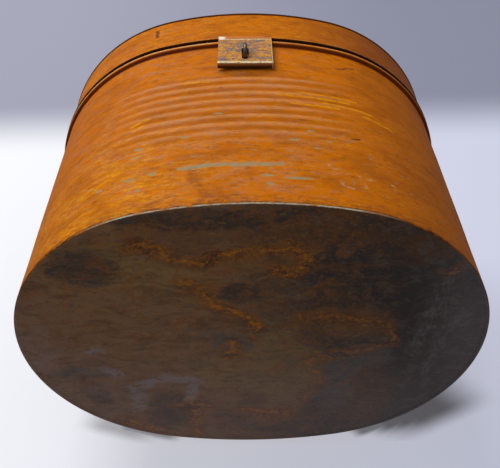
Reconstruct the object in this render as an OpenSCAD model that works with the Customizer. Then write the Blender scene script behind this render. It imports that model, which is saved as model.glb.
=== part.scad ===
// Oval tinplate hatbox: straight swaged wall, deep lid over a collar, hasp and staple, drop handle.
// It stands on its base at the origin, +Z up, with the hasp at the front (-Y) and the hinge at the back.

/* [Oval body] */
// Width of the wall across the ends
body_w = 400; // [370:1:430]
// Depth of the wall from front to back
body_d = 320; // [290:1:340]
// How much less than half the depth the radius of the round ends is
end_ease = 5; // [3:0.5:8]
// Thickness of the tinplate
sheet = 0.6; // [0.5:0.05:0.8]
// Width of the foot that the wall turns in under the base
foot_w = 3.6; // [3:0.1:6]
// Width of the folded seam inside each end of the wall
seam_w = 8; // [6:0.5:12]

/* [Stop bead and collar] */
// Height of the stop bead's centre above the floor
bead_z = 233; // [220:1:245]
// Radius of the stop bead
bead_r = 3.2; // [2.8:0.1:3.4]
// Height of the collar above the bead's centre
collar_h = 18; // [14:0.5:20]
// Diameter of the wire rolled into the collar's edge and the lid's edge
rim_wire_d = 1.2; // [1:0.1:1.4]

/* [Swaged rings] */
// Number of shallow rings round the wall
ring_n = 10; // [4:1:12]
// Height of the highest ring
ring_top_z = 169; // [160:1:175]
// Distance from ring to ring
ring_pitch = 11.75; // [10.5:0.25:13]
// Width of one ring
ring_w = 8; // [6:0.25:9]
// How far a ring stands proud of the wall
ring_h = 0.5; // [0.3:0.05:0.6]

/* [Lid] */
// Gap between the hasp's knuckles and the lid's edge above them
lid_gap = 0.5; // [0.4:0.1:2]
// Height of the lid from its edge to its border
lid_h = 56.8; // [48:0.1:70]
// Clearance between the wall and the lid's skirt
lid_clear = 1.2; // [1.1:0.05:1.5]
// Height of the top's turned-down flange
flange_h = 3; // [2:0.25:6]
// Width of the flat border round the raised panel
border_w = 16; // [10:0.5:24]
// Width of the slope up to the raised panel
slope_w = 4; // [3:0.5:8]
// Rise of the raised panel
panel_rise = 3; // [1.5:0.25:5]

/* [Hasp and staple] */
// Place of the hasp, left or right of the middle
hasp_x = -4.2; // [-10:0.1:10]
// Width of the hasp plate
hasp_w = 50; // [40:0.5:56]
// Thickness of the hasp plate
hasp_t = 1; // [0.8:0.05:1.2]
// Length of the hasp below the staple's centre
hasp_tail = 18; // [15:0.25:22]
// Diameter of the pin that the hasp swings on
hasp_pin_d = 2; // [1.8:0.1:2.2]
// Distance of that pin from the wall's face
hasp_pin_out = 4.2; // [4:0.1:4.8]
// Wall of the hasp's rolled knuckle
hasp_curl = 1; // [0.8:0.05:1.1]
// Length of the strap's knuckle at each end of the hasp
strap_knuckle = 7; // [5:0.5:10]
// Height of the strap inside the lid's skirt
strap_h = 12; // [8:0.5:16]
// Depth of the staple's centre below the stop bead
staple_drop = 29.25; // [24:0.25:34]
// Diameter of the staple's wire
staple_wire = 3.6; // [3:0.1:4]
// Distance between the staple's legs
staple_pitch = 12.5; // [11:0.25:14]
// Reach of the staple from the wall's face
staple_out = 15.6; // [14:0.1:18]
// Length of the staple's bent ends inside the wall
staple_clinch = 5; // [4:0.5:8]
// Clearance of the hasp's slot round the staple
slot_gap = 1.4; // [1:0.1:2]

/* [Back hinge] */
// Width of the hinge
hinge_w = 64; // [54:1:76]
// Diameter of the hinge pin
hinge_pin_d = 3.2; // [2.6:0.1:3.6]
// Wall of the hinge knuckles
hinge_curl = 1.6; // [1.2:0.1:1.8]
// Thickness of the hinge leaves
leaf_t = 1; // [0.8:0.05:1.2]
// Height of each leaf's flat
leaf_h = 20; // [16:0.5:26]
// Diameter of the rivets' shanks
rivet_d = 2.8; // [2.4:0.1:3.2]
// Diameter of the rivets' heads
rivet_head = 5.2; // [4.6:0.1:6]

/* [Drop handle] */
// Distance between the handle's arms
handle_span = 92; // [80:1:110]
// Reach of the handle from its pivots
handle_reach = 38; // [32:0.5:50]
// Diameter of the handle's wire
handle_wire = 5; // [4:0.1:6]
// Radius of the handle's corners, at the middle of the wire
handle_bend = 11; // [8:0.5:14]
// Width of each saddle that holds the handle
saddle_w = 9; // [7:0.5:12]
// Thickness of the saddles
saddle_t = 1.3; // [1:0.05:1.6]
// Length of each saddle's foot
saddle_foot = 9; // [8:0.5:12]

/* [Hidden] */
$fn = 96;

// Paint and metal
scumble = [0.72, 0.40, 0.12];
japan = [0.14, 0.11, 0.09];
tin = [0.62, 0.60, 0.56];
worn_steel = [0.48, 0.42, 0.34];
brass = [0.66, 0.51, 0.25];

// Clearances: a seat within one body, a pin that turns, pieces side by side, and a swing past another piece
seat = 0.05;
running = 0.05;
play = 0.3;
clear = 0.4;

// The oval is four arcs: end_r at the ends, side_r at front and back, both drawn with oval_fn steps a turn.
// far sets how far the outlines that part them reach.
oval_fn = 360;
end_r = body_d / 2 - end_ease;
end_x = (body_w - body_d) / 2 + end_ease;
side_y = (end_x * end_x - end_ease * end_ease) / (2 * end_ease);
side_r = body_d / 2 + side_y;
far = 3;
far_y = (far - 1) * side_y;

// Body
collar_z = bead_z + collar_h;
roll_r = rim_wire_d / 2 + sheet;
ring_r = (ring_w * ring_w / 4 + ring_h * ring_h) / (2 * ring_h);
seam_t = 2 * sheet;

// The hasp's pin lies just above the stop bead, and the lid's edge just above the pin's knuckles
hasp_knuckle_r = hasp_pin_d / 2 + hasp_curl;
hasp_pin_off = bead_r + clear + hasp_knuckle_r;
hasp_pin_z = bead_z + sqrt(hasp_pin_off * hasp_pin_off - hasp_pin_out * hasp_pin_out);

// Lid; lap is how far the raised panel and its slope run into each other
lid_z = hasp_pin_z + hasp_knuckle_r + lid_gap;
lid_roll_z = lid_z + roll_r;
lid_roll_out = lid_clear + seat + roll_r;
skirt_out = lid_clear + sheet;
border_z = lid_z + lid_h;
panel_z = border_z + panel_rise;
top_out = skirt_out + seat + sheet;
lap = 1;
tall = 2 * border_z;

// Hasp, in steps out from the wall's face
hasp_face = hasp_pin_out + hasp_knuckle_r - seat;
staple_z = bead_z - staple_drop;
hasp_foot_z = staple_z - hasp_tail;
lip_end = 0.8;
bend_r = 1.6;
strap_t = sheet - seat;
knuckle_x = (hasp_w - strap_knuckle) / 2;
slot_w = staple_wire + 2 * slot_gap;
slot_h = staple_pitch + staple_wire + 4 * slot_gap;
staple_r = staple_pitch / 2;
clinch_r = staple_wire;
plate_t = 0.8;
plate_w = 18;
plate_edge = plate_w / 2 + abs(hasp_x);
plate_in = sheet + plate_edge * plate_edge / (2 * side_r) + seat;

// Back hinge
hinge_r = hinge_pin_d / 2 + hinge_curl;
hinge_out = bead_r + clear + hinge_r;
hinge_z = (bead_z + bead_r + lid_z) / 2;
knuckle_n = 5;
knuckle_l = (hinge_w - (knuckle_n - 1) * play) / knuckle_n;
knuckle_step = knuckle_l + play;
leaf_out = bead_r + play;
lid_leaf_out = lid_roll_out + roll_r + play;
leaf_run = 1.5;
jog = 4;
body_leaf_z = bead_z - bead_r - leaf_run - jog;
lid_leaf_z = lid_z + 2 * roll_r + leaf_run + jog;
rivet_xs = [for (i = [-1:1]) i * hinge_w / 3];
body_rivet_z = body_leaf_z - leaf_h / 2;
lid_rivet_z = lid_leaf_z + leaf_h / 2;
dome_h = rivet_head / 4;
dome_r = (rivet_head * rivet_head / 4 + dome_h * dome_h) / (2 * dome_h);

// Drop handle
saddle_x = handle_span / 2 - handle_bend - saddle_w / 2 - 2 * play;
pivot_z = panel_z + handle_wire / 2 + play;
pivot_end = 1;
saddle_in = handle_wire / 2 + running;
saddle_out = saddle_in + saddle_t;
saddle_rivet_y = saddle_out + saddle_foot / 2;

// Points round part of a circle, from one angle to another
function arc(cx, cy, r, from, to, n = 6) =
    [for (i = [0:n]) let (t = from + (to - from) * i / n) [cx + r * cos(t), cy + r * sin(t)]];

// Outlines that part the oval into its four arcs, each along the lines where two arcs meet
module front_part() {
    polygon([[-end_x, 0], [end_x, 0], [far * end_x, -far_y], [-far * end_x, -far_y]]);
}

module front_right_part() {
    polygon([[end_x, 0], [far * end_x, -far_y], [far * body_w, -far_y], [far * body_w, 0]]);
}

module right_part() {
    polygon([
        [end_x, 0], [far * end_x, -far_y], [far * body_w, -far_y],
        [far * body_w, far_y], [far * end_x, far_y]
    ]);
}

// A profile whose x runs out from the wall's face and y runs up, swept round the front or the right-hand arc
module front_ring() {
    translate([0, side_y, 0]) rotate_extrude($fn = oval_fn) translate([side_r, 0]) children();
}

module right_ring() {
    translate([end_x, 0, 0]) rotate_extrude($fn = oval_fn) translate([end_r, 0]) children();
}

module sweep_front() {
    intersection() {
        front_ring() children();
        linear_extrude(tall) front_part();
    }
}

// The front half of the oval, and the whole of it
module sweep_half() {
    sweep_front() children();
    for (side = [0, 1]) mirror([side, 0, 0]) intersection() {
        right_ring() children();
        linear_extrude(tall) front_right_part();
    }
}

module sweep_all() {
    for (side = [0, 1]) {
        mirror([0, side, 0]) sweep_front() children();
        mirror([side, 0, 0]) intersection() {
            right_ring() children();
            linear_extrude(tall) right_part();
        }
    }
}

// A short stretch of the right-hand end, as wide as w
module at_end(w) {
    intersection() {
        right_ring() children();
        translate([end_x, -w / 2, 0]) cube([body_w, w, tall]);
    }
}

// The oval's area, grown outwards by a step
module oval(out = 0) {
    for (side = [0, 1]) {
        mirror([0, side]) intersection() {
            translate([0, side_y]) circle(side_r + out, $fn = oval_fn);
            front_part();
        }
        mirror([side, 0]) intersection() {
            translate([end_x, 0]) circle(end_r + out, $fn = oval_fn);
            right_part();
        }
    }
}

// A profile of steps out from the wall and heights, extruded along X at the back or at the front
module at_back(x, w) {
    translate([x, body_d / 2, 0])
        rotate([90, 0, 90])
            linear_extrude(w, center = true) children();
}

module at_front(x, w) {
    mirror([0, 1, 0]) at_back(x, w) children();
}

// A round bar along X, its axis a step out from the back of the wall
module bar_back(x, out, z, r, w) {
    translate([x, body_d / 2 + out, z])
        rotate([0, 90, 0])
            cylinder(r = r, h = w, center = true);
}

module bar_front(x, out, z, r, w) {
    mirror([0, 1, 0]) bar_back(x, out, z, r, w);
}

// The cylinder that the back of the wall is part of, grown by a step
module back_drum(out, z, h) {
    translate([0, -side_y, z]) cylinder(r = side_r + out, h = h, $fn = oval_fn);
}

// A rolled edge and the wire in it
module roll(out, z) {
    translate([out, z]) difference() {
        circle(roll_r);
        circle(rim_wire_d / 2 + running / 2);
    }
}

module roll_wire(out, z) {
    translate([out, z]) circle(rim_wire_d / 2);
}

module wall_profile() {
    difference() {
        union() {
            difference() {
                translate([-sheet, 0]) square([sheet, collar_z]);
                translate([0, bead_z]) circle(bead_r - sheet);
            }
            intersection() {
                translate([0, bead_z]) difference() {
                    circle(bead_r);
                    circle(bead_r - sheet);
                }
                translate([-sheet, bead_z - 2 * bead_r]) square([4 * bead_r, 4 * bead_r]);
            }
            for (i = [0:ring_n - 1]) intersection() {
                translate([ring_h - ring_r, ring_top_z - i * ring_pitch]) circle(ring_r);
                translate([-sheet / 2, ring_top_z - i * ring_pitch - ring_w]) square([2 * sheet, 2 * ring_w]);
            }
            translate([-foot_w, 0]) square([foot_w, sheet]);
            roll(-roll_r - seat, collar_z);
        }
        for (i = [0:ring_n - 1])
            translate([ring_h - ring_r - sheet, ring_top_z - i * ring_pitch]) circle(ring_r);
    }
}

// Holes through the front wall for the staple's legs
module staple_holes(grow) {
    for (side = [-1, 1])
        translate([hasp_x, 0, staple_z + side * staple_r])
            rotate([90, 0, 0]) cylinder(d = staple_wire + 2 * grow, h = body_d);
}

module front_wall() {
    color(scumble) difference() {
        sweep_half() wall_profile();
        staple_holes(seat);
    }
}

module back_wall() {
    color(scumble) difference() {
        mirror([0, 1, 0]) sweep_half() wall_profile();
        rivet_holes(body_rivet_z);
    }
}

// The folded seam where the two halves of the wall lock together
module end_seam() {
    color(tin) at_end(seam_w)
        translate([-sheet - seat - seam_t, 2 * sheet + seat])
            square([seam_t, bead_z - 2 * bead_r - 2 * sheet]);
}

module right_seam() {
    end_seam();
}

module left_seam() {
    mirror([1, 0, 0]) end_seam();
}

module base_panel() {
    color(japan) translate([0, 0, sheet]) linear_extrude(sheet) oval(-sheet - seat);
}

module collar_wire() {
    color(tin) sweep_all() roll_wire(-roll_r - seat, collar_z);
}

// A wire loop through the front wall, its ends bent apart inside
module staple() {
    straight = staple_out - staple_wire / 2 - staple_r;
    inside = plate_in + plate_t + clinch_r + staple_wire / 2;
    color(worn_steel) translate([hasp_x, -body_d / 2, staple_z]) {
        translate([0, -straight, 0]) rotate([0, 90, 0]) rotate([0, 0, 180])
            rotate_extrude(angle = 180) translate([staple_r, 0]) circle(d = staple_wire);
        for (side = [0, 1]) mirror([0, 0, side]) {
            translate([0, inside - clinch_r, staple_r])
                rotate([90, 0, 0]) cylinder(d = staple_wire, h = straight + inside - clinch_r);
            translate([0, inside - clinch_r, staple_r + clinch_r]) rotate([0, 90, 0])
                rotate_extrude(angle = 90) translate([clinch_r, 0]) circle(d = staple_wire);
            translate([0, inside, staple_r + clinch_r])
                cylinder(d = staple_wire, h = staple_clinch);
        }
    }
}

// The plate inside the wall that the staple's ends are bent over
module staple_plate() {
    plate_h = staple_pitch + 2 * (clinch_r + staple_clinch);
    color(tin) difference() {
        at_front(hasp_x, plate_w)
            translate([-plate_in - plate_t, staple_z - plate_h / 2]) square([plate_t, plate_h]);
        staple_holes(seat);
    }
}

// Places of the knuckles of one leaf along the hinge: the outer leaf has the first and the last
function knuckles(first) = [for (i = [first:2:knuckle_n - 1]) (i - (knuckle_n - 1) / 2) * knuckle_step];

// A leaf's outline joined to its own knuckles, bored for the pin and cut clear of the other leaf's
module hinge_leaf(own, others, bore) {
    difference() {
        union() {
            difference() {
                at_back(0, hinge_w) children();
                for (x = others)
                    bar_back(x, hinge_out, hinge_z, hinge_r + clear, knuckle_l + 2 * play);
            }
            for (x = own) bar_back(x, hinge_out, hinge_z, hinge_r, knuckle_l);
        }
        bar_back(0, hinge_out, hinge_z, hinge_pin_d / 2 + bore, 2 * hinge_w);
    }
}

module rivet_holes(z) {
    for (x = rivet_xs) translate([x, 0, z])
        rotate([-90, 0, 0]) cylinder(d = rivet_d + 2 * seat, h = body_d);
}

module hinge_body_leaf() {
    foot_z = body_leaf_z;
    color(worn_steel) difference() {
        hinge_leaf(knuckles(0), knuckles(1), running / 2) polygon([
            [-hinge_curl, foot_z - leaf_h], [leaf_t, foot_z - leaf_h],
            [leaf_t, foot_z], [leaf_out + leaf_t, foot_z + jog], [leaf_out + leaf_t, hinge_z],
            [leaf_out, hinge_z], [leaf_out, foot_z + jog], [-hinge_curl, foot_z + jog - leaf_out]
        ]);
        back_drum(seat, 0, foot_z + jog);
        rivet_holes(body_rivet_z);
    }
}

module hinge_lid_leaf() {
    foot_z = lid_leaf_z;
    face = skirt_out + leaf_t;
    color(worn_steel) difference() {
        hinge_leaf(knuckles(1), knuckles(0), running) polygon([
            [0, foot_z + leaf_h], [face, foot_z + leaf_h],
            [face, foot_z], [lid_leaf_out + leaf_t, foot_z - jog], [lid_leaf_out + leaf_t, hinge_z],
            [lid_leaf_out, hinge_z], [lid_leaf_out, foot_z - jog], [0, foot_z]
        ]);
        back_drum(skirt_out + seat, foot_z - jog, leaf_h + 2 * jog);
        rivet_holes(lid_rivet_z);
    }
}

module hinge_pin() {
    color(worn_steel) bar_back(0, hinge_out, hinge_z, hinge_pin_d / 2, hinge_w);
}

// The low dome of a rivet's head, standing on z = 0
module rivet_dome() {
    intersection() {
        translate([0, 0, dome_h - dome_r]) sphere(dome_r);
        cylinder(d = 2 * rivet_head, h = rivet_head);
    }
}

// A rivet pointing out from the back: a low dome outside and a flat head inside the sheet
module back_rivet(x, z, outside, inside) {
    head_in = inside - (abs(x) + rivet_head / 2) * (abs(x) + rivet_head / 2) / (2 * side_r) - seat;
    translate([x, body_d / 2, z]) rotate([-90, 0, 0]) {
        translate([0, 0, head_in - sheet]) cylinder(d = rivet_head, h = sheet);
        translate([0, 0, head_in - sheet / 2]) cylinder(d = rivet_d, h = outside - head_in + sheet);
        translate([0, 0, outside + seat]) rivet_dome();
    }
}

module hinge_body_rivets() {
    color(worn_steel) for (x = rivet_xs) back_rivet(x, body_rivet_z, leaf_t, -sheet);
}

module hinge_lid_rivets() {
    color(worn_steel) for (x = rivet_xs) back_rivet(x, lid_rivet_z, skirt_out + leaf_t, lid_clear);
}

module lid_skirt() {
    color(scumble) difference() {
        sweep_all() {
            translate([lid_clear, lid_roll_z]) square([sheet, border_z - sheet - lid_roll_z]);
            roll(lid_roll_out, lid_roll_z);
        }
        rivet_holes(lid_rivet_z);
    }
}

module lid_seam() {
    foot = lid_roll_z + roll_r;
    color(tin) mirror([1, 0, 0]) at_end(seam_w)
        translate([lid_clear - seat - strap_t, foot]) square([strap_t, border_z - 2 * sheet - foot]);
}

module lid_rim_wire() {
    color(tin) sweep_all() roll_wire(lid_roll_out, lid_roll_z);
}

// The top: a flange over the skirt, a flat border, a slope and a raised flat panel
module lid_top() {
    slope_x = -border_w;
    panel_x = -border_w - slope_w;
    color(scumble) difference() {
        union() {
            sweep_all() polygon([
                [top_out, border_z - flange_h], [top_out, border_z], [slope_x, border_z],
                [panel_x, panel_z], [panel_x - lap, panel_z], [panel_x - lap, panel_z - sheet],
                [panel_x, panel_z - sheet], [slope_x, border_z - sheet],
                [top_out - sheet, border_z - sheet], [top_out - sheet, border_z - flange_h]
            ]);
            translate([0, 0, panel_z - sheet]) linear_extrude(sheet) oval(panel_x - lap / 2);
        }
        saddle_holes();
    }
}

// The strap soldered inside the skirt, with two knuckles below the lid's edge that hold the hasp's pin
module hasp_strap() {
    in_face = lid_clear - seat - strap_t;
    color(scumble) difference() {
        union() {
            intersection() {
                front_ring() translate([in_face, hasp_pin_z]) square([strap_t, strap_h]);
                at_front(hasp_x, hasp_w) translate([-body_d / 4, 0]) square([body_d / 2, tall]);
            }
            for (side = [-1, 1]) {
                difference() {
                    at_front(hasp_x + side * knuckle_x, strap_knuckle)
                        translate([-bead_r, hasp_pin_z])
                            square([bead_r + hasp_pin_out, hasp_knuckle_r - seat]);
                    mirror([0, 1, 0]) back_drum(in_face, 0, border_z);
                }
                bar_front(hasp_x + side * knuckle_x, hasp_pin_out, hasp_pin_z, hasp_knuckle_r, strap_knuckle);
            }
        }
        bar_front(hasp_x, hasp_pin_out, hasp_pin_z, hasp_pin_d / 2 + running / 2, 2 * hasp_w);
    }
}

module hasp_pin() {
    color(worn_steel) bar_front(hasp_x, hasp_pin_out, hasp_pin_z, hasp_pin_d / 2, hasp_w);
}

// The hasp: a curl round the pin between the strap's knuckles, a flat plate with a slot, and a foot bent in
module hasp_plate() {
    back = hasp_face - hasp_t;
    slot_end = slot_h / 2 - slot_w / 2;
    color(worn_steel) difference() {
        union() {
            difference() {
                at_front(hasp_x, hasp_w) polygon(concat(
                    [[hasp_face, hasp_pin_z], [back, hasp_pin_z], [back, hasp_foot_z + bend_r]],
                    arc(hasp_face - bend_r, hasp_foot_z + bend_r, bend_r - hasp_t, 0, -90),
                    [[lip_end, hasp_foot_z + hasp_t], [lip_end, hasp_foot_z]],
                    arc(hasp_face - bend_r, hasp_foot_z + bend_r, bend_r, -90, 0)
                ));
                for (side = [-1, 1])
                    bar_front(hasp_x + side * knuckle_x, hasp_pin_out, hasp_pin_z,
                        hasp_knuckle_r + clear, strap_knuckle + 2 * play);
            }
            bar_front(hasp_x, hasp_pin_out, hasp_pin_z, hasp_knuckle_r, hasp_w - 2 * (strap_knuckle + play));
        }
        bar_front(hasp_x, hasp_pin_out, hasp_pin_z, hasp_pin_d / 2 + running, 2 * hasp_w);
        translate([hasp_x, -body_d / 2, staple_z]) {
            translate([0, -hasp_face, 0]) cube([slot_w, 4 * hasp_t, 2 * slot_end], center = true);
            for (side = [-1, 1]) translate([0, -back + hasp_t, side * slot_end])
                rotate([90, 0, 0]) cylinder(d = slot_w, h = 4 * hasp_t);
        }
    }
}

module saddle_holes() {
    for (x = [-1, 1], y = [-1, 1])
        translate([x * saddle_x, y * saddle_rivet_y, border_z])
            cylinder(d = rivet_d + 2 * seat, h = 4 * panel_rise + handle_wire);
}

// A saddle that holds one end of the handle down on the lid
module saddle() {
    foot = saddle_out + saddle_foot;
    color(brass) difference() {
        translate([saddle_x, 0, pivot_z]) rotate([90, 0, 90]) linear_extrude(saddle_w, center = true)
            difference() {
                union() {
                    circle(saddle_out);
                    translate([-saddle_out, panel_z - pivot_z]) square([2 * saddle_out, pivot_z - panel_z]);
                    translate([-foot, panel_z - pivot_z]) square([2 * foot, saddle_t]);
                }
                circle(saddle_in);
                translate([-saddle_in, -2 * pivot_z]) square([2 * saddle_in, 2 * pivot_z]);
                translate([-foot, panel_z - pivot_z - 2 * foot]) square([2 * foot, 2 * foot]);
            }
        saddle_holes();
    }
}

module right_saddle() {
    saddle();
}

module left_saddle() {
    mirror([1, 0, 0]) saddle();
}

module saddle_rivets() {
    color(brass) for (x = [-1, 1], y = [-1, 1])
        translate([x * saddle_x, y * saddle_rivet_y, 0]) {
            translate([0, 0, panel_z - 2 * sheet]) cylinder(d = rivet_head, h = sheet);
            translate([0, 0, panel_z - 1.5 * sheet]) cylinder(d = rivet_d, h = saddle_t + 2 * sheet);
            translate([0, 0, panel_z + saddle_t]) rivet_dome();
        }
}

// The bail: two pivots that point inwards, two arms and a grip, one bent wire
module handle() {
    arm_x = handle_span / 2;
    pivot_in = saddle_x - saddle_w / 2 - pivot_end;
    color(brass) translate([0, 0, pivot_z]) {
        translate([0, handle_reach, 0]) rotate([0, 90, 0])
            cylinder(d = handle_wire, h = 2 * (arm_x - handle_bend), center = true);
        for (side = [0, 1]) mirror([side, 0, 0]) {
            translate([pivot_in, 0, 0]) rotate([0, 90, 0])
                cylinder(d = handle_wire, h = arm_x - handle_bend - pivot_in);
            translate([arm_x - handle_bend, handle_bend, 0]) rotate([0, 0, -90])
                rotate_extrude(angle = 90) translate([handle_bend, 0]) circle(d = handle_wire);
            translate([arm_x, handle_bend, 0]) rotate([-90, 0, 0])
                cylinder(d = handle_wire, h = handle_reach - 2 * handle_bend);
            translate([arm_x - handle_bend, handle_reach - handle_bend, 0])
                rotate_extrude(angle = 90) translate([handle_bend, 0]) circle(d = handle_wire);
        }
    }
}

front_wall();
back_wall();
left_seam();
right_seam();
base_panel();
collar_wire();
staple();
staple_plate();
hinge_body_leaf();
hinge_body_rivets();
hinge_pin();
lid_skirt();
lid_seam();
lid_top();
lid_rim_wire();
hinge_lid_leaf();
hinge_lid_rivets();
hasp_strap();
hasp_pin();
hasp_plate();
left_saddle();
right_saddle();
saddle_rivets();
handle();
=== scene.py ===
"""An old oval tinplate hatbox: combed brown glaze, dull tin inside, a rusted dark base and a worn hasp."""
import math

import bmesh
import bpy
from mathutils import Matrix, Vector, noise


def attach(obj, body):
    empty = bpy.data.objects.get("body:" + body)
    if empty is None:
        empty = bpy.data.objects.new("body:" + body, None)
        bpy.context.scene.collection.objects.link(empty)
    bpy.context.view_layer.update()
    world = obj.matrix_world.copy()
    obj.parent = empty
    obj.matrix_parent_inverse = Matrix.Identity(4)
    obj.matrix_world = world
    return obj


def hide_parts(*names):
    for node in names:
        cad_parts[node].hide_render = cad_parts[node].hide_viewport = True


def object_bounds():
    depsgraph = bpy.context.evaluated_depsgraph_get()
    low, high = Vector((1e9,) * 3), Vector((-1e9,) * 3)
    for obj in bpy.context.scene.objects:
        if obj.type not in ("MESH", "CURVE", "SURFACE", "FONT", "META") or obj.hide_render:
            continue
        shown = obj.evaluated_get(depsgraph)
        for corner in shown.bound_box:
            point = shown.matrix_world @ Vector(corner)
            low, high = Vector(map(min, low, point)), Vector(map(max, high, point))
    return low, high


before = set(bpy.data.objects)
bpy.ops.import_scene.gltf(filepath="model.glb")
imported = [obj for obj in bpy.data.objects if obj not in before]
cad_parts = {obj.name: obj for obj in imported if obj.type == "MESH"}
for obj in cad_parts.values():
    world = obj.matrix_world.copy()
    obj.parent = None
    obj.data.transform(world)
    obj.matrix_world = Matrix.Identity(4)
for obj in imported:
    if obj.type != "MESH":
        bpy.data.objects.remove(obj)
cad_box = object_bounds()

# Sizes in millimetres, the same as the solids'
MM = 0.001
HALF_W = 200
HALF_D = 160
END_EASE = 5
SHEET = 0.6
SEAT = 0.05
ROLL_R = 1.14

FOOT_W = 3.6
FOOT_BEND = 1.0
RING_N = 10
RING_TOP = 169
RING_PITCH = 11.75
RING_W = 10.5
RING_H = 0.5
BEAD_Z = 233
BEAD_R = 3.2
BEAD_FILLET = 0.8
COLLAR_Z = 251

LID_Z = 239.2
BORDER_Z = 296
LID_CLEAR = 1.2
LID_ROLL_OUT = LID_CLEAR + SEAT + ROLL_R
SKIRT_TOP = BORDER_Z - SHEET
FLANGE_H = 3
TOP_OUT = LID_CLEAR + 2 * SHEET + SEAT
TOP_BEND = 0.9
BORDER_W = 16
SLOPE_W = 4
PANEL_RISE = 3

HASP_X = -4.2
HASP_W = 50
HASP_T = 0.95
HASP_FACE = 6.15
HASP_FOOT = 185.75
HASP_BEND = 1.6
HASP_LIP = 0.8
HASP_PIN_OUT = 4.2
HASP_PIN_Z = 236.7
KNUCKLE_W = 7
KNUCKLE_GAP = 0.3
KNUCKLE_CUT = 2.4
STAPLE_Z = 203.75
SLOT_W = 6.4
SLOT_H = 21.7

# The oval's four arcs
END_R = HALF_D - END_EASE
END_X = HALF_W - END_R
SIDE_Y = (END_X ** 2 - END_EASE ** 2) / (2 * END_EASE)
SIDE_R = HALF_D + SIDE_Y
MEET = math.degrees(math.atan2(SIDE_Y, END_X))


def srgb(red, green, blue):
    """A colour as a picture shows it, turned into the linear colour that a shader takes."""
    def linear(value):
        share = value / 255
        return share / 12.92 if share <= 0.04045 else ((share + 0.055) / 1.055) ** 2.4

    return linear(red), linear(green), linear(blue), 1.0


class Flow:
    """One output socket of a finish. Sums on it add Math nodes to that finish."""

    def __init__(self, finish, socket):
        self.finish = finish
        self.socket = socket

    def math(self, operation, *values):
        return self.finish.node("ShaderNodeMath", {"operation": operation}, values)

    def __add__(self, other):
        return self.math("ADD", self, other)

    def __radd__(self, other):
        return self.math("ADD", other, self)

    def __sub__(self, other):
        return self.math("SUBTRACT", self, other)

    def __rsub__(self, other):
        return self.math("SUBTRACT", other, self)

    def __mul__(self, other):
        return self.math("MULTIPLY", self, other)

    def __rmul__(self, other):
        return self.math("MULTIPLY", other, self)

    def __truediv__(self, other):
        return self.math("DIVIDE", self, other)

    def __rtruediv__(self, other):
        return self.math("DIVIDE", other, self)

    def __abs__(self):
        return self.math("ABSOLUTE", self)


class Finish:
    """The nodes of a material, or of the world, while it is being made."""

    def __init__(self, tree):
        self.tree = tree
        tree.nodes.clear()

    def node(self, kind, settings, inputs, output=0):
        """Adds a node: its settings first, then the values or flows of its sockets."""
        made = self.tree.nodes.new(kind)
        for name, value in settings.items():
            setattr(made, name, value)
        pairs = inputs.items() if isinstance(inputs, dict) else enumerate(inputs)
        for key, value in pairs:
            if isinstance(value, Flow):
                self.tree.links.new(value.socket, made.inputs[key])
            else:
                made.inputs[key].default_value = value
        return Flow(self, made.outputs[output]) if made.outputs else None

    def place(self):
        """The point on the piece in millimetres, which moves with the piece."""
        point = self.node("ShaderNodeTexCoord", {}, {}, "Object")
        return self.node("ShaderNodeVectorMath", {"operation": "SCALE"}, {0: point, "Scale": 1 / MM})

    def parts(self, vector, axes="XYZ"):
        return [self.node("ShaderNodeSeparateXYZ", {}, [vector], axis) for axis in axes]

    def flat(self, across, up):
        """Two flows as a point of a plane, where marks are laid out."""
        return self.node("ShaderNodeCombineXYZ", {}, [across, up])

    def vector(self, operation, *values):
        return self.node("ShaderNodeVectorMath", {"operation": operation}, values)

    def dot(self, one, other):
        return self.node("ShaderNodeVectorMath", {"operation": "DOT_PRODUCT"}, [one, other], "Value")

    def grain(self, vector, size, detail=4.0, rough=0.55, warp=0.0):
        """Noise between 0 and 1 whose features are about that long in X, Y and Z."""
        scaled = self.vector("DIVIDE", vector, size)
        return self.node("ShaderNodeTexNoise", {}, {
            "Vector": scaled, "Scale": 1.0, "Detail": detail, "Roughness": rough, "Distortion": warp,
        })

    def wander(self, vector, size, reach):
        """The point pushed about by a soft noise, so that straight edges turn ragged."""
        scaled = self.vector("DIVIDE", vector, size)
        drift = self.node("ShaderNodeTexNoise", {}, {"Vector": scaled, "Scale": 1.0, "Detail": 4.0}, "Color")
        push = self.vector("MULTIPLY", self.vector("SUBTRACT", drift, (0.5, 0.5, 0.5)), reach)
        return self.vector("ADD", vector, push)

    def step(self, value, low, high):
        """0 below low, 1 above high, and a smooth rise between them; the other way round if low is higher."""
        return self.node("ShaderNodeMapRange", {"interpolation_type": "SMOOTHSTEP"}, {
            "Value": value, "From Min": low, "From Max": high,
        })

    def band(self, value, rise, fall):
        """1 between a rise and a fall; both say where it is 0 and where it is 1."""
        return self.step(value, *rise) * self.step(value, *fall)

    def blend(self, share, under, over):
        """A colour laid over another, in the sockets that a Mix node has for colours."""
        return self.node("ShaderNodeMix", {"data_type": "RGBA"}, {0: share, 6: under, 7: over}, 2)

    def bump(self, height, depth):
        """Small relief: height from 0 to 1 stands for that depth in millimetres."""
        return self.node("ShaderNodeBump", {}, {"Height": height, "Distance": depth * MM, "Strength": 1.0})

    def surface(self, sockets):
        shader = self.node("ShaderNodeBsdfPrincipled", {}, sockets)
        self.node("ShaderNodeOutputMaterial", {}, {"Surface": shader})


def start(name):
    """A new material, its nodes and the point that its patterns are laid out by."""
    material = bpy.data.materials.new(name)
    material.use_nodes = True
    finish = Finish(material.node_tree)
    return material, finish, finish.place()


def spread(finish, point, spot):
    """How far a point lies from an oval's middle each way, squared, as shares of the half sizes."""
    mid_x, mid_y, half_x, half_y = spot
    off = finish.vector("SUBTRACT", point, (mid_x, mid_y, 0))
    share = finish.vector("DIVIDE", off, (half_x, half_y, 1))
    return finish.vector("MULTIPLY", share, share)


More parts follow.
